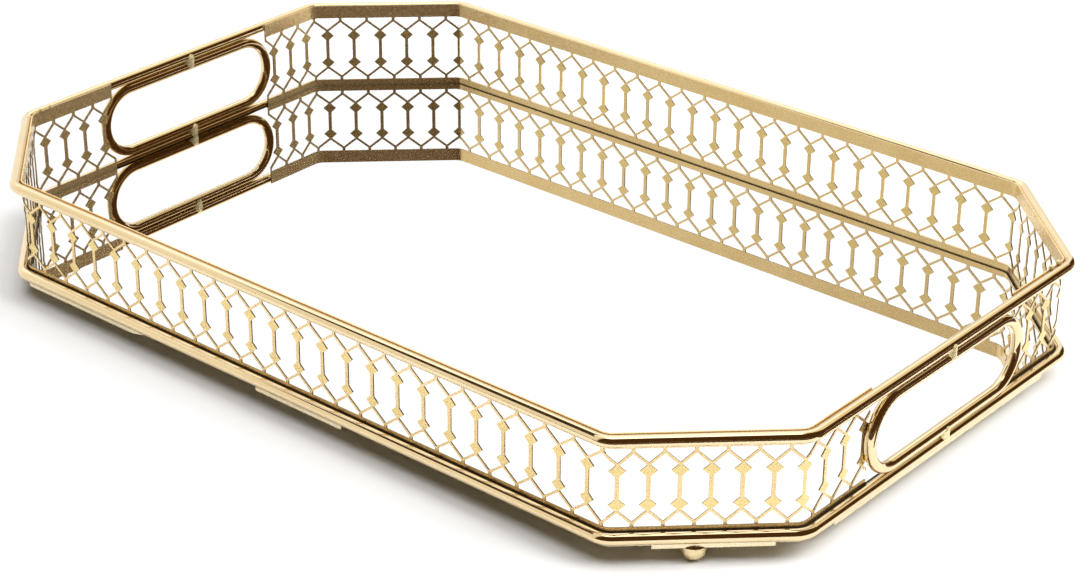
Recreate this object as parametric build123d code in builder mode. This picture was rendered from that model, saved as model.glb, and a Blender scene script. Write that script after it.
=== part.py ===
from build123d import *
from math import atan2, ceil, degrees, pi, radians, sqrt, tan
import os

# Dresser vanity tray: an eight-sided gallery tray of gilt rod and pierced strip round a mirror floor.
# Millimetres, +Z up. Origin: centre of the footprint, on the surface that the feet stand on.
# X is the long way, Y the short way. "Front" is the long side at -Y, "right" is the short side at +X.

# driving dimensions of the rod frame
rod_diameter = 4.2
rail_half_length = 190.0
rail_half_width = 125.5
corner_cut_x = 47.5
corner_cut_y = 45.5
rail_bend_radius = 8.0
rail_spacing = 36.2

# pierced strip: posts with a diamond at each end, tied to the borders by V-shaped arms
strip_thickness = 0.5
strip_rise = 1.7
bottom_border_height = 5.1
top_border_height = 5.7
arm_width = 0.9
stub_width = 1.3
bar_width = 1.45
diamond_half_width = 2.8
diamond_half_height = 2.6
diamond_level = 6.3
arm_foot_level = 8.6
arm_tip_level = 13.2
long_side_units = 24
cut_depth = 2.0
front_shift = 0.144
left_front_units = 4
left_back_units = 3
left_back_corner_units = 5.5
corner_side_units = 6
right_side_units = 3.25

# handle rings and the solder joints that hold them between the rails
ring_half_length = 45.7
left_ring_shift = 5.5
left_joint_shift = 6.5
joint_gap = 0.2
joint_radius = 2.6
joint_height = 7.4
joint_round = 2.1
joint_cut_length = 12.0

# floor of the tray
base_thickness = 1.5
pad_thickness = 0.5
pad_length = 70.0
pad_width = 30.0
pad_pitch_x = 105.0
pad_pitch_y = 110.0
pad_columns = 3
pad_rows = 2
glass_thickness = 1.9
glass_gap = 0.4
glass_bevel = 0.4

# base plate: its edge lies under the rail, and its tabs reach out past the rail's centre line
plate_inset = 1.4
tab_reach = 0.7
tab_root = 10.0
corner_tab_width = 40.0
corner_tab_shift = 3.0
mid_tab_width = 42.0
mid_tab_shift = 6.0
short_tab_width = 130.0
end_tab_outer_x = 138.0
end_tab_taper_x = 80.0
end_tab_inner_x = 52.0

# feet, rivets and small solder
foot_height = 5.8
foot_diameter = 9.2
foot_flat_diameter = 3.0
foot_inset = 2.5
foot_shift = -3.0
rivet_diameter = 2.4
rivet_head_diameter = 4.4
rivet_head_angle = 90
rivet_depth = 3.0
bead_radius = 1.0
bead_rise = 0.3
bead_distances = (4.5, 9.5)
tack_length = 6.0
tack_width = 1.6
tack_height = 0.4

# derived sizes
rod_radius = rod_diameter / 2
plate_top = foot_height + base_thickness
bottom_rail_z = plate_top + rod_radius
top_rail_z = bottom_rail_z + rail_spacing
rail_mid_z = (bottom_rail_z + top_rail_z) / 2
strip_top = top_rail_z + strip_rise
strip_height = strip_top - plate_top
opening_half_height = (strip_height - bottom_border_height - top_border_height) / 2
opening_mid_z = plate_top + bottom_border_height + opening_half_height
strip_mid_inset = rod_radius + strip_thickness / 2
strip_inner_inset = rod_radius + strip_thickness
ring_radius = rail_spacing / 2 - rod_diameter - joint_gap
ring_straight = 2 * (ring_half_length - ring_radius)
strip_end_y = ring_half_length - rod_radius
glass_inset = strip_inner_inset + glass_gap
corner_angle = atan2(corner_cut_y, corner_cut_x)
rivet_radius = rivet_diameter / 2
rivet_head_radius = rivet_head_diameter / 2
rivet_head_height = (rivet_head_radius - rivet_radius) / tan(radians(rivet_head_angle / 2))
foot_radius = foot_diameter / 2
foot_flat_radius = foot_flat_diameter / 2
foot_ball_z = sqrt(foot_radius**2 - foot_flat_radius**2)


def corner_points(inset):
    """The eight corners of the rail's outline moved inwards, from the front right one round by the right."""
    half_x = rail_half_length - inset
    half_y = rail_half_width - inset
    fold_x = rail_half_length - corner_cut_x - inset * tan(corner_angle / 2)
    fold_y = rail_half_width - corner_cut_y - inset * tan((pi / 2 - corner_angle) / 2)
    front_right = [(fold_x, -half_y), (half_x, -fold_y)]
    right = front_right + [(x, -y) for x, y in reversed(front_right)]
    return right + [(-x, -y) for x, y in right]


def outline(inset):
    """Rounded outline of the tray, a distance inside the rail's centre line."""
    FilletPolyline(*corner_points(inset), radius=rail_bend_radius - inset, close=True)


def corner_place(inset, shift, index):
    """Point on a cut corner, moved inwards and then from its middle towards the short side.

    Corners count round from the front right one.
    """
    ends = [Vector(x, y) for x, y in corner_points(inset)[2 * index : 2 * index + 2]]
    if index % 2:
        ends.reverse()
    place = (ends[0] + ends[1]) / 2 + (ends[1] - ends[0]).normalized() * shift
    return place.X, place.Y


def side_plane(start, end, level):
    """Upright plane on a side of the tray: x along the side, y up, z outwards."""
    along = Vector(end[0] - start[0], end[1] - start[1], 0).normalized()
    middle = ((start[0] + end[0]) / 2, (start[1] + end[1]) / 2, level)
    return Plane(origin=middle, x_dir=along, z_dir=along.cross(Vector(0, 0, 1)))


def export(part, name):
    """Write one piece as its own file, under the name it has in the tray."""
    part.label = name
    export_step(part, f"parts/{name}.step")


os.makedirs("parts", exist_ok=True)


# rails: one rod each, bent to the outline and closed
def rail(level):
    with BuildPart() as loop:
        with BuildLine(Plane.XY.offset(level)) as route:
            outline(0)
        path = route.wire()
        with BuildSketch(Plane(origin=path @ 0, z_dir=path % 0)):
            Circle(rod_radius)
        sweep(path=path)
    return loop.part


bottom_rail = rail(bottom_rail_z)
top_rail = rail(top_rail_z)
export(bottom_rail, "bottom_rail")
export(top_rail, "top_rail")


# handle rings: the same rod bent to a long oval that stands between the rails in each short side
def handle_ring(centre_x, centre_y):
    with BuildPart() as ring:
        with BuildSketch(Plane.YZ.offset(centre_x), mode=Mode.PRIVATE) as oval:
            with Locations((centre_y, rail_mid_z)):
                SlotCenterToCenter(ring_straight, 2 * ring_radius)
        path = oval.sketch.face().outer_wire()
        with BuildSketch(Plane(origin=path @ 0, z_dir=path % 0)):
            Circle(rod_radius)
        sweep(path=path)
    return ring.part


# handle joints: a blob of solder over the crease between ring and rail, near the middle of the handle
def handle_joint(centre_x, centre_y, level):
    rod_offset = rod_radius + joint_gap / 2
    rod_levels = (level - rod_offset, level + rod_offset)
    with BuildPart() as joint:
        with Locations((centre_x, centre_y, level)):
            Cylinder(joint_radius, joint_height)
        fillet(joint.edges().filter_by(GeomType.CIRCLE), joint_round)
        with Locations(*[(centre_x, centre_y, rod_level) for rod_level in rod_levels]):
            Cylinder(rod_radius, joint_cut_length, rotation=(90, 0, 0), mode=Mode.SUBTRACT)
    return joint.part


upper_joint_z = top_rail_z - rod_radius - joint_gap / 2
lower_joint_z = bottom_rail_z + rod_radius + joint_gap / 2
left_handle = ("left", -rail_half_length, left_ring_shift, left_joint_shift)
right_handle = ("right", rail_half_length, 0, 0)
for side, centre_x, ring_y, joint_y in (left_handle, right_handle):
    export(handle_ring(centre_x, ring_y), f"{side}_handle_ring")
    export(handle_joint(centre_x, joint_y, upper_joint_z), f"{side}_handle_top_joint")
    export(handle_joint(centre_x, joint_y, lower_joint_z), f"{side}_handle_bottom_joint")


# openings of the pierced strip, drawn about the middle of the openings' height
def arm_rise(pitch):
    return (arm_tip_level - arm_foot_level) / (pitch / 2)


def arm_half_height(pitch):
    return arm_width / 2 * sqrt(1 + arm_rise(pitch) ** 2)


def window_edge(pitch):
    """Right-hand edge of the tall opening between two posts, from its top point to its bottom point."""
    slope = arm_rise(pitch)
    arm_low = arm_tip_level - arm_half_height(pitch)
    diamond_slope = diamond_half_height / diamond_half_width
    diamond_x = pitch / 2 - diamond_half_width
    meet_x = (arm_low - diamond_level + diamond_x * diamond_slope) / (slope + diamond_slope)
    bar_x = (pitch - bar_width) / 2
    upper = [
        (0, arm_low),
        (meet_x, arm_low - slope * meet_x),
        (diamond_x, diamond_level),
        (bar_x, diamond_level - (bar_x - diamond_x) * diamond_slope),
    ]
    return upper + [(x, -y) for x, y in reversed(upper)]


def notch(pitch):
    """Three-cornered opening between a post's two upper arms and the top border."""
    low = arm_foot_level + arm_half_height(pitch)
    side_x = (pitch - stub_width) / 2
    right = [(side_x, low + arm_rise(pitch) * side_x), (side_x, opening_half_height)]
    return [(0, low)] + right + [(-x, y) for x, y in reversed(right)]


def openings(start, end, first_post, units):
    """Openings of one straight side of the strip, which is a number of units long.

    The first post stands first_post units after the start.
    """
    length = sqrt((end[0] - start[0]) ** 2 + (end[1] - start[1]) ** 2)
    pitch = length / units
    right_edge = window_edge(pitch)
    window = right_edge + [(-x, y) for x, y in right_edge[-2:0:-1]]
    triangle = notch(pitch)
    turned_triangle = [(x, -y) for x, y in triangle]
    posts = [((first_post + index) * pitch - length / 2, 0) for index in range(ceil(units) + 1)]
    tips = [(x - pitch / 2, 0) for x, _ in posts]
    with BuildSketch(side_plane(start, end, opening_mid_z)) as pattern:
        with Locations(*tips):
            Polygon(*window, align=None)
        with Locations(*posts):
            Polygon(*triangle, align=None)
            Polygon(*turned_triangle, align=None)
        Rectangle(length, 2 * opening_half_height, mode=Mode.INTERSECT)
    return pattern.sketch


# gallery strips: each stands inside the rails, from one handle round the tray to the other
def gallery_strip(left_end_y, right_end_y, sides):
    """The strip of the front half, given where it stops on the short sides."""
    area = [
        (-rail_half_length, left_end_y),
        (-rail_half_length, -rail_half_width),
        (rail_half_length, -rail_half_width),
        (rail_half_length, right_end_y),
        (0, right_end_y),
        (0, left_end_y),
    ]
    with BuildPart() as strip:
        with BuildSketch(Plane.XY.offset(plate_top)):
            with BuildLine():
                outline(rod_radius)
            make_face()
            with BuildLine():
                outline(strip_inner_inset)
            make_face(mode=Mode.SUBTRACT)
            Polygon(*area, align=None, mode=Mode.INTERSECT)
        extrude(amount=strip_height)
        for side in sides:
            extrude(openings(*side), amount=cut_depth, both=True, mode=Mode.SUBTRACT)
    return strip.part


folds = corner_points(strip_mid_inset)
strip_x = folds[1][0]
left_front_y = left_ring_shift - strip_end_y
left_back_y = -left_ring_shift - strip_end_y
right_side = (folds[1], (strip_x, -strip_end_y), 0, right_side_units)
front_sides = [
    (folds[6], (-strip_x, left_front_y), 0.5, left_front_units),
    (folds[6], folds[7], 0.5, corner_side_units + front_shift),
    (folds[7], folds[0], 0.5 - front_shift, long_side_units),
    (folds[0], folds[1], 0.5 - front_shift, corner_side_units + 0.5 - front_shift),
    right_side,
]
back_sides = [
    (folds[6], (-strip_x, left_back_y), 0.5, left_back_units),
    (folds[6], folds[7], 0.5, left_back_corner_units),
    (folds[7], folds[0], 0, long_side_units),
    (folds[0], folds[1], 0, corner_side_units),
    right_side,
]
front_gallery_strip = gallery_strip(left_front_y, -strip_end_y, front_sides)
export(front_gallery_strip, "front_gallery_strip")

with BuildPart() as back_gallery_strip:
    mirror(gallery_strip(left_back_y, -strip_end_y, back_sides), about=Plane.XZ)
export(back_gallery_strip.part, "back_gallery_strip")

# beads of solder between the strip's upper edge and the top rail, beside two of the bends
bead_places = [(folds[6][0], folds[6][1] + y, strip_top + bead_rise) for y in bead_distances]
with BuildPart() as strip_solder_beads:
    with PolarLocations(0, 2):
        with Locations(*bead_places):
            Sphere(bead_radius)
    add(top_rail, mode=Mode.SUBTRACT)
    add(front_gallery_strip, mode=Mode.SUBTRACT)
    add(back_gallery_strip.part, mode=Mode.SUBTRACT)
export(strip_solder_beads.part, "strip_solder_beads")

# base plate: flat sheet with tabs, countersunk for the four foot rivets
foot_places = [corner_place(foot_inset, foot_shift, index) for index in range(4)]
corner_tilt = degrees(corner_angle)
short_edge_x = rail_half_length + tab_reach
long_edge_y = rail_half_width + tab_reach
tab_root_y = rail_half_width - tab_root
mid_tab = [
    (mid_tab_shift - mid_tab_width / 2, -tab_root_y),
    (mid_tab_shift + mid_tab_width / 2, -tab_root_y),
    (mid_tab_shift + mid_tab_width / 2, -long_edge_y),
    (mid_tab_shift - mid_tab_width / 2, -long_edge_y),
]
end_tab = [
    (-end_tab_outer_x, -tab_root_y),
    (-end_tab_outer_x, -long_edge_y),
    (-end_tab_taper_x, -long_edge_y),
    (-end_tab_inner_x, -tab_root_y),
]

with BuildPart() as base_plate:
    with BuildSketch(Plane.XY.offset(foot_height)):
        with BuildLine():
            outline(plate_inset)
        make_face()
        Rectangle(2 * short_edge_x, short_tab_width)
        with PolarLocations(0, 2):
            Polygon(*mid_tab, align=None)
            Polygon(*end_tab, align=None)
        for index, tilt in enumerate((corner_tilt, -corner_tilt, corner_tilt, -corner_tilt)):
            place = corner_place(tab_root / 2 - tab_reach, corner_tab_shift, index)
            with Locations(Location((*place, 0), tilt)):
                Rectangle(corner_tab_width, tab_root)
    extrude(amount=base_thickness)
    with Locations(*[(x, y, plate_top) for x, y in foot_places]):
        CounterSinkHole(rivet_radius, rivet_head_radius, counter_sink_angle=rivet_head_angle)
export(base_plate.part, "base_plate")

# feet: short drum ending in a ball, with a small flat to stand on and a blind hole for the rivet
for name, (x, y) in zip(("front_right", "back_right", "back_left", "front_left"), foot_places):
    with BuildPart() as foot:
        with BuildSketch(Plane((x, y, 0), x_dir=(1, 0, 0), z_dir=(0, -1, 0))):
            with BuildLine():
                bottom = Line((0, 0), (foot_flat_radius, 0))
                ball = RadiusArc(bottom @ 1, (foot_radius, foot_ball_z), -foot_radius)
                Polyline(ball @ 1, (foot_radius, foot_height), (0, foot_height), (0, 0))
            make_face()
        revolve(axis=Axis((x, y, 0), (0, 0, 1)))
        with Locations((x, y, foot_height)):
            Hole(rivet_radius, depth=rivet_depth)
    export(foot.part, f"{name}_foot")

# foot rivets: flush countersunk head in the base plate, shank down into the foot
with BuildPart() as foot_rivets:
    with Locations(*[(x, y, plate_top) for x, y in foot_places]):
        Cone(
            rivet_radius,
            rivet_head_radius,
            rivet_head_height,
            align=(Align.CENTER, Align.CENTER, Align.MAX),
        )
        Cylinder(
            rivet_radius,
            base_thickness + rivet_depth,
            align=(Align.CENTER, Align.CENTER, Align.MAX),
        )
export(foot_rivets.part, "foot_rivets")

# tacks of solder between the strip's foot and the base plate, under the edge of the glass
tack_corners = corner_points(strip_inner_inset + tack_width / 2)
tack_sides = list(zip(tack_corners, tack_corners[1:] + tack_corners[:1]))
short_sides = (tack_sides[1], tack_sides[5])
with BuildPart() as frame_solder_tacks:
    for start, end in (side for side in tack_sides if side not in short_sides):
        tilt = degrees(atan2(end[1] - start[1], end[0] - start[0]))
        middle = ((start[0] + end[0]) / 2, (start[1] + end[1]) / 2, plate_top)
        with Locations(Location(middle, tilt)):
            Box(tack_length, tack_width, tack_height, align=(Align.CENTER, Align.CENTER, Align.MIN))
export(frame_solder_tacks.part, "frame_solder_tacks")

# mirror: one piece of glass with ground edges, on thin double-sided pads
with BuildPart() as mirror_adhesive_pads:
    with BuildSketch(Plane.XY.offset(plate_top)):
        with GridLocations(pad_pitch_x, pad_pitch_y, pad_columns, pad_rows):
            Rectangle(pad_length, pad_width)
    extrude(amount=pad_thickness)
export(mirror_adhesive_pads.part, "mirror_adhesive_pads")

with BuildPart() as mirror_glass:
    with BuildSketch(Plane.XY.offset(plate_top + pad_thickness)):
        with BuildLine():
            outline(glass_inset)
        make_face()
    extrude(amount=glass_thickness)
    chamfer(mirror_glass.faces().sort_by(Axis.Z)[-1].edges(), length=glass_bevel)
export(mirror_glass.part, "mirror_glass")
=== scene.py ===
from math import atan2, cos, pi, radians, sin, sqrt, tan

import bpy
from mathutils import Matrix, Vector


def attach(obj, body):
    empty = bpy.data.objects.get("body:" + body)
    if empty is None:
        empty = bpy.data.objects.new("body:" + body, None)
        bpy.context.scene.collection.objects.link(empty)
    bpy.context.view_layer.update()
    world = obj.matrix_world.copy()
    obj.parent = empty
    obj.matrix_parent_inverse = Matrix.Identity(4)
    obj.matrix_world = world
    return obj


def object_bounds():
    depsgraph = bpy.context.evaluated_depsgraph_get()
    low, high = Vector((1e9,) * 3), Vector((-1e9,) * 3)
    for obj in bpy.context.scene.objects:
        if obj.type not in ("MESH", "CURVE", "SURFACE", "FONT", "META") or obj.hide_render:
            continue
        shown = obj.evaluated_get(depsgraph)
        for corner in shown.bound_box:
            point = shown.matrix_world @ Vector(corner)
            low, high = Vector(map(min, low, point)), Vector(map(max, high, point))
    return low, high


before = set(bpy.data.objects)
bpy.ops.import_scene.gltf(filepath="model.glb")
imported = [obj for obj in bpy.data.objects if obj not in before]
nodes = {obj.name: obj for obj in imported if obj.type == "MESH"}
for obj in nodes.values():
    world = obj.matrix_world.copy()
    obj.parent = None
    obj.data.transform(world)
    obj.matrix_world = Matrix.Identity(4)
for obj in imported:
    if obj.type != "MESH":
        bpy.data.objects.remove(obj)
cad_low, cad_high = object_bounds()

# sizes of the tray that the looks need, in metres, as in the part
ROD_RADIUS = 0.0021
RAIL_HALF_LENGTH = 0.19
RAIL_HALF_WIDTH = 0.1255
CORNER_CUT_X = 0.0475
CORNER_CUT_Y = 0.0455
RAIL_BEND_RADIUS = 0.008
LEFT_STRIP_ENDS = (-0.0381, 0.0491)
RIGHT_STRIP_END = 0.0436
PLATE_TOP = 0.0073
BOTTOM_RAIL_Z = PLATE_TOP + ROD_RADIUS
DIAMOND_OFFSET = 0.0063
OPENING_MIDDLE = 0.027
CORNER_ANGLE = atan2(CORNER_CUT_Y, CORNER_CUT_X)

# ---------------------------------------------------------------- camera
CAMERA_AZIMUTH = radians(-49.933)
CAMERA_ELEVATION = radians(27.361)
CAMERA_ROLL = radians(0.494)
CAMERA_DISTANCE = 0.98416
CAMERA_TARGET = Vector((0.01585, -0.00681, BOTTOM_RAIL_Z))
CAMERA_LENS = 86.76
SENSOR_WIDTH = 36.0


def heading(azimuth, elevation):
    """Unit vector towards an azimuth from +X and an elevation, both in radians."""
    level = cos(elevation)
    return Vector((level * cos(azimuth), level * sin(azimuth), sin(elevation)))


def add_camera():
    back = heading(CAMERA_AZIMUTH, CAMERA_ELEVATION)
    level_right = (-back).cross(Vector((0, 0, 1))).normalized()
    level_up = level_right.cross(-back)
    right = cos(CAMERA_ROLL) * level_right + sin(CAMERA_ROLL) * level_up
    up = cos(CAMERA_ROLL) * level_up - sin(CAMERA_ROLL) * level_right
    data = bpy.data.cameras.new("camera")
    data.lens = CAMERA_LENS
    data.sensor_width = SENSOR_WIDTH
    data.sensor_fit = "HORIZONTAL"
    data.clip_start = 0.01
    data.clip_end = 50
    camera = bpy.data.objects.new("camera", data)
    bpy.context.scene.collection.objects.link(camera)
    turn = Matrix((right, up, back)).transposed().to_4x4()
    camera.matrix_world = Matrix.Translation(CAMERA_TARGET + CAMERA_DISTANCE * back) @ turn
    bpy.context.scene.camera = camera
    bpy.context.scene.view_settings.view_transform = "Standard"


add_camera()


# ---------------------------------------------------------------- node helpers
class Tree:
    """Short calls for adding and joining shader nodes."""

    def __init__(self, tree):
        self.tree = tree
        tree.nodes.clear()

    def put(self, socket, value):
        if isinstance(value, bpy.types.NodeSocket):
            self.tree.links.new(value, socket)
        else:
            socket.default_value = value

    def add(self, kind, values=None, **settings):
        node = self.tree.nodes.new(kind)
        for name, value in settings.items():
            setattr(node, name, value)
        for name, value in (values or {}).items():
            self.put(node.inputs[name], value)
        return node

    def math(self, operation, *values):
        node = self.add("ShaderNodeMath", operation=operation)
        for socket, value in zip(node.inputs, values):
            self.put(socket, value)
        return node.outputs[0]

    def ramp(self, value, start, end, low=0.0, high=1.0):
        node = self.add(
            "ShaderNodeMapRange",
            {"Value": value, "From Min": start, "From Max": end, "To Min": low, "To Max": high},
            interpolation_type="SMOOTHSTEP",
        )
        return node.outputs["Result"]

    def mix(self, share, first, second):
        """Colour that goes from the first to the second as share goes from 0 to 1."""
        node = self.add("ShaderNodeMix", data_type="RGBA")
        for index, value in ((0, share), (6, first), (7, second)):
            if isinstance(value, tuple):
                value = (*value, 1)
            self.put(node.inputs[index], value)
        return node.outputs[2]

    def noise(self, place, scale, detail=3.0, roughness=0.6):
        values = {"Vector": place, "Scale": scale, "Detail": detail, "Roughness": roughness}
        return self.add("ShaderNodeTexNoise", values).outputs["Fac"]


# ---------------------------------------------------------------- studio
# The surroundings that the metal and the mirror reflect: bright walls at the left and the back's left, a
# warm glow high over the back, a bright ceiling, and a dark brown room everywhere else. A heading is an
# azimuth in degrees from +X. Each pair is the stretch over which one colour turns into the next: elevations
# in radians for a top or a bottom, and cosines of the angle from the heading for the sides.
ROOM_COLOR = (0.07, 0.032, 0.01)

GLOW_COLOR = (1.0, 0.86, 0.62)
GLOW_HEADING = 84
GLOW_SIDES = (cos(radians(30)), cos(radians(16)))
GLOW_BOTTOM = (radians(30), radians(37))

WALLS_HEADING = 178
WALLS_SIDES = (0.1, 0.3)
LEFT_WALL_COLOR = (0.95, 0.9, 0.78)
BACK_WALL_COLOR = (1.12, 1.12, 1.12)
BACK_WALL_HEADING = 130
LEFT_TO_BACK_WALL = (-0.4, 0.8)

LOW_WALL_COLOR = (0.88, 0.85, 0.83)
LOW_WALL_SIDES = (0.91, 0.95)
LOW_WALL_TOP = (radians(22), radians(18))

HIGH_WALL_COLOR = (1.45, 1.45, 1.45)
HIGH_WALL_SIDES = (0.5, 0.9)
HIGH_WALL_BOTTOM = (radians(28), radians(36))

CEILING_COLOR = (2.4, 2.4, 2.4)
CEILING_BOTTOM = (radians(73), radians(79))

SHORTEST_LEVEL = 0.0001


def toward(w, x, y, azimuth):
    """Cosine of the level angle between a direction and an azimuth in degrees from +X."""
    level = w.math("SQRT", w.math("ADD", w.math("MULTIPLY", x, x), w.math("MULTIPLY", y, y)))
    along_x = w.math("MULTIPLY", x, cos(radians(azimuth)))
    along_y = w.math("MULTIPLY", y, sin(radians(azimuth)))
    return w.math("DIVIDE", w.math("ADD", along_x, along_y), w.math("MAXIMUM", level, SHORTEST_LEVEL))


def add_world():
    world = bpy.data.worlds.new("studio")
    bpy.context.scene.world = world
    world.use_nodes = True
    w = Tree(world.node_tree)
    direction = w.add("ShaderNodeTexCoord").outputs["Generated"]
    x, y, z = w.add("ShaderNodeSeparateXYZ", {"Vector": direction}).outputs
    elevation = w.math("ARCSINE", z)
    toward_glow = toward(w, x, y, GLOW_HEADING)
    toward_walls = toward(w, x, y, WALLS_HEADING)
    toward_back = toward(w, x, y, BACK_WALL_HEADING)

    glow = w.math("MULTIPLY", w.ramp(toward_glow, *GLOW_SIDES), w.ramp(elevation, *GLOW_BOTTOM))
    low = w.math("MULTIPLY", w.ramp(toward_back, *LOW_WALL_SIDES), w.ramp(elevation, *LOW_WALL_TOP))
    high = w.math("MULTIPLY", w.ramp(toward_back, *HIGH_WALL_SIDES), w.ramp(elevation, *HIGH_WALL_BOTTOM))

    room_color = w.mix(glow, ROOM_COLOR, GLOW_COLOR)
    wall_color = w.mix(w.ramp(toward_back, *LEFT_TO_BACK_WALL), LEFT_WALL_COLOR, BACK_WALL_COLOR)
    wall_color = w.mix(low, wall_color, LOW_WALL_COLOR)
    wall_color = w.mix(high, wall_color, HIGH_WALL_COLOR)
    color = w.mix(w.ramp(toward_walls, *WALLS_SIDES), room_color, wall_color)
    color = w.mix(w.ramp(elevation, *CEILING_BOTTOM), color, CEILING_COLOR)
    background = w.add("ShaderNodeBackground", {"Color": color})
    w.add("ShaderNodeOutputWorld", {"Surface": background.outputs[0]})
    world.cycles_visibility.diffuse = False


def plain(name, color, roughness):
    material = bpy.data.materials.new(name)
    material.use_nodes = True
    shader = material.node_tree.nodes["Principled BSDF"]
    shader.inputs["Base Color"].default_value = (*color, 1)
    shader.inputs["Roughness"].default_value = roughness
    return material


def flat_sheet(name, corners, material):
    mesh = bpy.data.meshes.new(name)
    mesh.from_pydata(corners, [], [tuple(range(len(corners)))])
    mesh.materials.append(material)
    sheet = bpy.data.objects.new(name, mesh)
    bpy.context.scene.collection.objects.link(sheet)
    return sheet


FLOOR_SIZE = 6.0
FLOOR_COLOR = (0.93, 0.93, 0.93)
BACKDROP_HEIGHT = 5.0
BACKDROP_COLOR = (0.1, 0.1, 0.1)
BACKDROP_GLOW = 0.82
CARD_COLOR = (0.05, 0.024, 0.008)
CARD_LEVEL = 0.0005
FRONT_CARD_HEADING = radians(-47)
FRONT_CARD_NEAR = 0.285
FRONT_CARD_FAR = 3.0
SIDE_CARD_NEAR = 0.235
SIDE_CARD_FRONT = -0.04
SIDE_CARD_FAR = 1.2
HANGING_CARD_LEVEL = 0.5
HANGING_CARD_CORNERS = ((-0.38, -0.5), (-0.13, -0.5), (-0.1, 0.08), (-0.24, -0.05), (-0.47, -0.33))


def hide_from(sheet, *rays):
    for ray in rays:
        setattr(sheet, f"visible_{ray}", False)


def clear_in_mirror(material):
    """Let the mirror's sharp reflections through, so that only the gilt metal shows a card."""
    tree = material.node_tree
    path = tree.nodes.new("ShaderNodeLightPath")
    clear = tree.nodes.new("ShaderNodeBsdfTransparent")
    mix = tree.nodes.new("ShaderNodeMixShader")
    tree.links.new(path.outputs["Is Singular Ray"], mix.inputs[0])
    tree.links.new(tree.nodes["Principled BSDF"].outputs[0], mix.inputs[1])
    tree.links.new(clear.outputs[0], mix.inputs[2])
    tree.links.new(mix.outputs[0], tree.nodes["Material Output"].inputs["Surface"])


def add_floor():
    corners = [(-FLOOR_SIZE, -FLOOR_SIZE, 0), (FLOOR_SIZE, -FLOOR_SIZE, 0)]
    corners += [(-x, -y, z) for x, y, z in corners]
    flat_sheet("floor", corners, plain("floor", FLOOR_COLOR, roughness=0.7))


def add_backdrop():
    """Pale walls at the edge of the floor, which only the camera sees."""
    pale = plain("backdrop", BACKDROP_COLOR, roughness=0.9)
    shader = pale.node_tree.nodes["Principled BSDF"]
    shader.inputs["Emission Color"].default_value = (1, 1, 1, 1)
    shader.inputs["Emission Strength"].default_value = BACKDROP_GLOW
    ends = [(1, -1), (1, 1), (-1, 1), (-1, -1)]
    for index, (start, end) in enumerate(zip(ends, ends[1:] + ends[:1])):
        foot = [(x * FLOOR_SIZE, y * FLOOR_SIZE, 0) for x, y in (start, end)]
        head = [(x, y, BACKDROP_HEIGHT) for x, y, _ in reversed(foot)]
        wall = flat_sheet(f"backdrop_{index + 1}", foot + head, pale)
        hide_from(wall, "glossy", "diffuse", "shadow", "transmission")


def add_cards():
    """Dark cards on the floor in front and at the right, and one that hangs over the front left.

    They bring the dark of the room nearer, and only the gilt metal's reflections see them.
    """
    dark = plain("dark_card", CARD_COLOR, roughness=0.9)
    clear_in_mirror(dark)

    ahead = heading(FRONT_CARD_HEADING, 0)
    across = Vector((0, 0, 1)).cross(ahead)
    rise = Vector((0, 0, CARD_LEVEL))
    near, far = FRONT_CARD_NEAR, FRONT_CARD_FAR
    edges = [(near, -far), (far, -far), (far, far), (near, far)]
    front = flat_sheet("front_card", [ahead * x + across * y + rise for x, y in edges], dark)

    near, start, far = SIDE_CARD_NEAR, SIDE_CARD_FRONT, SIDE_CARD_FAR
    edges = [(near, start), (far, start), (far, far), (near, far)]
    side = flat_sheet("side_card", [(x, y, CARD_LEVEL) for x, y in edges], dark)

    corners = [(x, y, HANGING_CARD_LEVEL) for x, y in HANGING_CARD_CORNERS]
    hanging = flat_sheet("hanging_card", corners, dark)
    for card in (front, side, hanging):
        hide_from(card, "camera", "diffuse", "shadow", "transmission")


CEILING_LIGHT_STRENGTH = 2.5
CEILING_LIGHT_SPREAD = radians(62)
SIDE_LIGHT_AZIMUTH = radians(32)
SIDE_LIGHT_ELEVATION = radians(42)
SIDE_LIGHT_DISTANCE = 2.0
SIDE_LIGHT_SIZE = 1.1
SIDE_LIGHT_POWER = 35


def add_light(name, kind, energy):
    """Light that falls on the floor and the tray and isn't seen in reflections."""
    data = bpy.data.lights.new(name, kind)
    data.energy = energy
    light = bpy.data.objects.new(name, data)
    bpy.context.scene.collection.objects.link(light)
    light.visible_glossy = False
    return light


def add_ceiling_light():
    """Even soft light from straight above."""
    light = add_light("ceiling_light", "SUN", CEILING_LIGHT_STRENGTH)
    light.data.angle = CEILING_LIGHT_SPREAD


def add_side_light():
    """Square light at the back right, aimed at the tray."""
    light = add_light("side_light", "AREA", SIDE_LIGHT_POWER)
    light.data.size = SIDE_LIGHT_SIZE
    place = heading(SIDE_LIGHT_AZIMUTH, SIDE_LIGHT_ELEVATION) * SIDE_LIGHT_DISTANCE
    light.matrix_world = Matrix.Translation(place) @ place.to_track_quat("Z", "Y").to_matrix().to_4x4()


add_world()
add_floor()
add_backdrop()
add_cards()
add_ceiling_light()
add_side_light()


# ---------------------------------------------------------------- materials
# Each pair is the stretch over which a look sets in: noise values for a spread, and metres for an edge or a
# top.
DRIFT_SCALE = 26.0
DRIFT_SPREAD = (0.35, 0.65)
GRAIN_SPREAD = (0.3, 0.7)
GRAIN_DEPTH = 0.0001
DIAMOND_COLOR = (0.9, 0.69, 0.31)
DIAMOND_EDGE = (0.0028, 0.0018)
# painted shade: darker gold low on the strip's outer face, for the shade in the crease above the bottom rail
CREASE_SHADE_COLOR = (0.42, 0.31, 0.15)
CREASE_SHADE_TOP = (PLATE_TOP + 0.0052, PLATE_TOP + 0.0038)


def new_material(name):
    material = bpy.data.materials.new(name)
    material.use_nodes = True
    tree = Tree(material.node_tree)
    place = tree.add("ShaderNodeTexCoord").outputs["Object"]
    return material, tree, place


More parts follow.
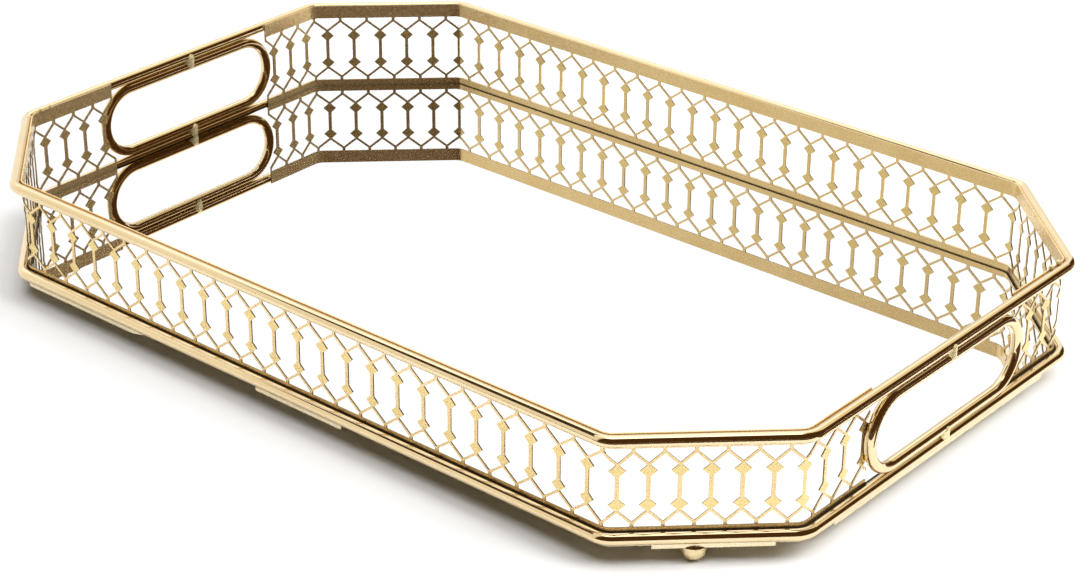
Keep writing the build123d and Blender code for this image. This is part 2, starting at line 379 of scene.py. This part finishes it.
def finish_material(tree, values):
    shader = tree.add("ShaderNodeBsdfPrincipled", values)
    tree.add("ShaderNodeOutputMaterial", {"Surface": shader.outputs[0]})


def diamonds_and_crease_shade(t, place, color):
    """Deepen the colour at the level of the diamonds, and paint shade on the foot of the strip's outer face,
    where it meets the crease above the bottom rail.
    """
    height = t.add("ShaderNodeSeparateXYZ", {"Vector": place}).outputs["Z"]
    from_middle = t.math("ABSOLUTE", t.math("SUBTRACT", height, OPENING_MIDDLE))
    from_diamond = t.math("ABSOLUTE", t.math("SUBTRACT", from_middle, DIAMOND_OFFSET))
    color = t.mix(t.ramp(from_diamond, *DIAMOND_EDGE), color, DIAMOND_COLOR)
    normal = t.add("ShaderNodeNewGeometry").outputs["Normal"]
    outward = t.add("ShaderNodeVectorMath", {0: normal, 1: place}, operation="DOT_PRODUCT").outputs["Value"]
    outside = t.math("GREATER_THAN", outward, 0.0)
    return t.mix(t.math("MULTIPLY", outside, t.ramp(height, *CREASE_SHADE_TOP)), color, CREASE_SHADE_COLOR)


def gold(name, pale, deep, smooth, rough, grain_scale=500.0, bump=0.0, metal=1.0, with_diamonds_and_shade=False):
    """Plated metal: slow drift of colour, fine grain in the roughness and, with bump, in the surface."""
    material, t, place = new_material(name)
    color = t.mix(t.ramp(t.noise(place, DRIFT_SCALE), *DRIFT_SPREAD), pale, deep)
    # the strip's gold gets the diamonds' tone and painted shade low on its outer face
    if with_diamonds_and_shade:
        color = diamonds_and_crease_shade(t, place, color)
    grain = t.noise(place, grain_scale, detail=4.0)
    surface = t.add("ShaderNodeBump", {"Height": grain, "Distance": GRAIN_DEPTH, "Strength": bump})
    values = {
        "Base Color": color,
        "Metallic": metal,
        "Roughness": t.ramp(grain, *GRAIN_SPREAD, low=smooth, high=rough),
        "Normal": surface.outputs[0],
    }
    finish_material(t, values)
    return material


def mirror_face():
    """Perfect mirror. With no roughness its reflections stay sharp, and pass through the cards."""
    material, t, place = new_material("mirror_face")
    smudge = t.noise(place, scale=9.0, detail=5.0)
    values = {
        "Base Color": t.mix(t.ramp(smudge, 0.4, 0.6), (0.93, 0.935, 0.935), (0.91, 0.92, 0.92)),
        "Metallic": 1.0,
        "Roughness": 0.0,
    }
    finish_material(t, values)
    return material


def ground_glass():
    material, t, place = new_material("ground_glass")
    grain = t.noise(place, scale=1500.0)
    values = {
        "Base Color": t.mix(grain, (0.025, 0.028, 0.026), (0.06, 0.065, 0.062)),
        "Roughness": t.ramp(grain, *GRAIN_SPREAD, low=0.3, high=0.5),
    }
    finish_material(t, values)
    return material


def foam():
    material, t, place = new_material("foam")
    cells = t.add("ShaderNodeTexVoronoi", {"Vector": place, "Scale": 1800.0}).outputs["Distance"]
    surface = t.add("ShaderNodeBump", {"Height": cells, "Distance": 0.0002, "Strength": 0.5})
    values = {
        "Base Color": t.mix(cells, (0.8, 0.8, 0.78), (0.93, 0.93, 0.92)),
        "Roughness": 0.85,
        "Normal": surface.outputs[0],
    }
    finish_material(t, values)
    return material


def steel():
    material, t, place = new_material("steel")
    stretch = t.add("ShaderNodeMapping", {"Vector": place, "Scale": (1, 12, 12)}).outputs[0]
    lines = t.noise(stretch, scale=400.0, detail=5.0)
    values = {
        "Base Color": t.mix(lines, (0.5, 0.49, 0.47), (0.66, 0.65, 0.62)),
        "Metallic": 1.0,
        "Roughness": t.ramp(lines, *GRAIN_SPREAD, low=0.25, high=0.45),
    }
    finish_material(t, values)
    return material


# painted shade: near-black, dull stuff for the line in the crease between strip and bottom rail
def crease_shade_line():
    material, t, place = new_material("crease_shade_line")
    grain = t.noise(place, scale=700.0)
    values = {
        "Base Color": t.mix(grain, (0.012, 0.007, 0.003), (0.04, 0.024, 0.01)),
        "Roughness": t.ramp(grain, *GRAIN_SPREAD, low=0.6, high=0.8),
        "Specular IOR Level": 0.1,
    }
    finish_material(t, values)
    return material


rod_gold = gold("rod_gold", pale=(0.86, 0.7, 0.44), deep=(0.83, 0.66, 0.4), smooth=0.05, rough=0.08)
strip_gold = gold(
    "strip_gold",
    pale=(0.93, 0.71, 0.37),
    deep=(0.88, 0.65, 0.32),
    smooth=0.25,
    rough=0.29,
    metal=0.76,
    with_diamonds_and_shade=True,
)
# painted shade: dark gold on the cut sides of the strip's openings, which draws dark outlines round the
# pattern
cut_side_shade = gold(
    "cut_side_shade",
    pale=(0.34, 0.25, 0.12),
    deep=(0.27, 0.19, 0.09),
    smooth=0.3,
    rough=0.45,
    grain_scale=900.0,
    bump=0.1,
)
solder_gold = gold(
    "solder_gold",
    pale=(0.95, 0.84, 0.5),
    deep=(0.78, 0.62, 0.3),
    smooth=0.2,
    rough=0.35,
    grain_scale=900.0,
    bump=0.9,
    metal=0.45,
)
plate_gold = gold(
    "plate_gold",
    pale=(0.88, 0.76, 0.52),
    deep=(0.85, 0.72, 0.47),
    smooth=0.2,
    rough=0.3,
    grain_scale=700.0,
    bump=0.03,
)
foot_gold = gold(
    "foot_gold",
    pale=(0.84, 0.68, 0.4),
    deep=(0.78, 0.62, 0.34),
    smooth=0.2,
    rough=0.32,
    grain_scale=450.0,
    bump=0.12,
)


# ---------------------------------------------------------------- outline of the tray
BEND_STEPS = 6


def corner_points(inset):
    """The eight corners of the rail's outline moved inwards, from the front right one round by the right."""
    half_x = RAIL_HALF_LENGTH - inset
    half_y = RAIL_HALF_WIDTH - inset
    fold_x = RAIL_HALF_LENGTH - CORNER_CUT_X - inset * tan(CORNER_ANGLE / 2)
    fold_y = RAIL_HALF_WIDTH - CORNER_CUT_Y - inset * tan((pi / 2 - CORNER_ANGLE) / 2)
    front_right = [(fold_x, -half_y), (half_x, -fold_y)]
    right = front_right + [(x, -y) for x, y in reversed(front_right)]
    return [Vector(point) for point in right + [(-x, -y) for x, y in right]]


def side_normals():
    corners = corner_points(0)
    sides = [end - start for start, end in zip(corners, corners[1:] + corners[:1])]
    return [Vector((side.y, -side.x)).normalized() for side in sides]


def bend(corner, before, after, inset):
    """Points of the rounded bend at a corner of the outline."""
    radius = RAIL_BEND_RADIUS - inset
    into = (corner - before).normalized()
    out = (after - corner).normalized()
    turn = into.angle(out)
    start = corner - into * radius * tan(turn / 2)
    centre = start + Vector((-into.y, into.x)) * radius
    points = []
    for step in range(BEND_STEPS + 1):
        angle = turn * step / BEND_STEPS - pi / 2 + atan2(into.y, into.x)
        points.append(centre + radius * Vector((cos(angle), sin(angle))))
    return points


# ---------------------------------------------------------------- painting the CAD parts
def paint(material, *names):
    for name in names:
        mesh = nodes[name].data
        mesh.materials.clear()
        mesh.materials.append(material)


def paint_rest(name, material, belongs):
    """Give a second material to the faces of a part for which belongs(polygon) is false."""
    mesh = nodes[name].data
    mesh.materials.append(material)
    for polygon in mesh.polygons:
        polygon.material_index = 0 if belongs(polygon) else 1


SIDE_NORMALS = side_normals()
FACES_UP = 0.7
FACES_A_SIDE = 0.9
FACES_OWN_SIDE = 0.3
STRIP_TOP_EDGE = cad_high[2] - 0.0035


def is_strip_face(polygon):
    """True for the strip's broad faces and its top edge, false for the cut sides of its openings."""
    if polygon.normal.z > FACES_UP and polygon.center.z > STRIP_TOP_EDGE:
        return True
    outwards = polygon.center.xy.normalized()
    own_side = max(SIDE_NORMALS, key=lambda normal: outwards.dot(normal))
    if abs(polygon.normal.xy.dot(own_side)) <= FACES_OWN_SIDE:
        return False
    return max(abs(polygon.normal.xy.dot(normal)) for normal in SIDE_NORMALS) > FACES_A_SIDE


paint(rod_gold, "top_rail", "bottom_rail", "left_handle_ring", "right_handle_ring")
paint(strip_gold, "front_gallery_strip", "back_gallery_strip")
paint(
    solder_gold,
    "strip_solder_beads",
    "frame_solder_tacks",
    "left_handle_top_joint",
    "left_handle_bottom_joint",
    "right_handle_top_joint",
    "right_handle_bottom_joint",
)
paint(plate_gold, "base_plate")
paint(foot_gold, "front_left_foot", "front_right_foot", "back_left_foot", "back_right_foot")
paint(steel(), "foot_rivets")
paint(foam(), "mirror_adhesive_pads")
paint(mirror_face(), "mirror_glass")
paint_rest("mirror_glass", ground_glass(), lambda polygon: polygon.normal.z > 0.99)
# the cut sides of the strip's openings take the dark gold of painted shade
for name in ("front_gallery_strip", "back_gallery_strip"):
    paint_rest(name, cut_side_shade, is_strip_face)


# ---------------------------------------------------------------- painted shade: dark line in the crease between strip and bottom rail
CREASE_SHADE_RADIUS = 0.00025


def add_crease_shade(name, left_end, right_end, side, material):
    """Thin dark line of painted shade in the crease outside a strip, from one handle round the tray to the
    other.
    """
    inset = ROD_RADIUS - CREASE_SHADE_RADIUS
    level = BOTTOM_RAIL_Z + 2 * sqrt(ROD_RADIUS * CREASE_SHADE_RADIUS)
    corners = corner_points(inset)
    route = corners[6:] + corners[:2]
    stops = [Vector((route[0].x, left_end))] + route + [Vector((route[-1].x, right_end))]
    points = [stops[0]]
    for before, corner, after in zip(stops, route, stops[2:]):
        points += bend(corner, before, after, inset)
    points.append(stops[-1])
    curve = bpy.data.curves.new(name, "CURVE")
    curve.dimensions = "3D"
    curve.bevel_depth = CREASE_SHADE_RADIUS
    curve.bevel_resolution = 2
    curve.use_fill_caps = True
    line = curve.splines.new("POLY")
    line.points.add(len(points) - 1)
    for target, point in zip(line.points, points):
        target.co = (point.x, point.y * side, level, 1)
    curve.materials.append(material)
    shape = bpy.data.objects.new(name, curve)
    bpy.context.scene.collection.objects.link(shape)
    mesh = bpy.data.meshes.new_from_object(shape.evaluated_get(bpy.context.evaluated_depsgraph_get()))
    bpy.data.objects.remove(shape)
    piece = bpy.data.objects.new(name, mesh)
    bpy.context.scene.collection.objects.link(piece)
    for polygon in mesh.polygons:
        polygon.use_smooth = True
    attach(piece, "root")


# painted shade along the crease outside each strip
crease_shade_material = crease_shade_line()
add_crease_shade("front_strip_crease_shade", LEFT_STRIP_ENDS[0], -RIGHT_STRIP_END, 1, crease_shade_material)
add_crease_shade("back_strip_crease_shade", -LEFT_STRIP_ENDS[1], -RIGHT_STRIP_END, -1, crease_shade_material)
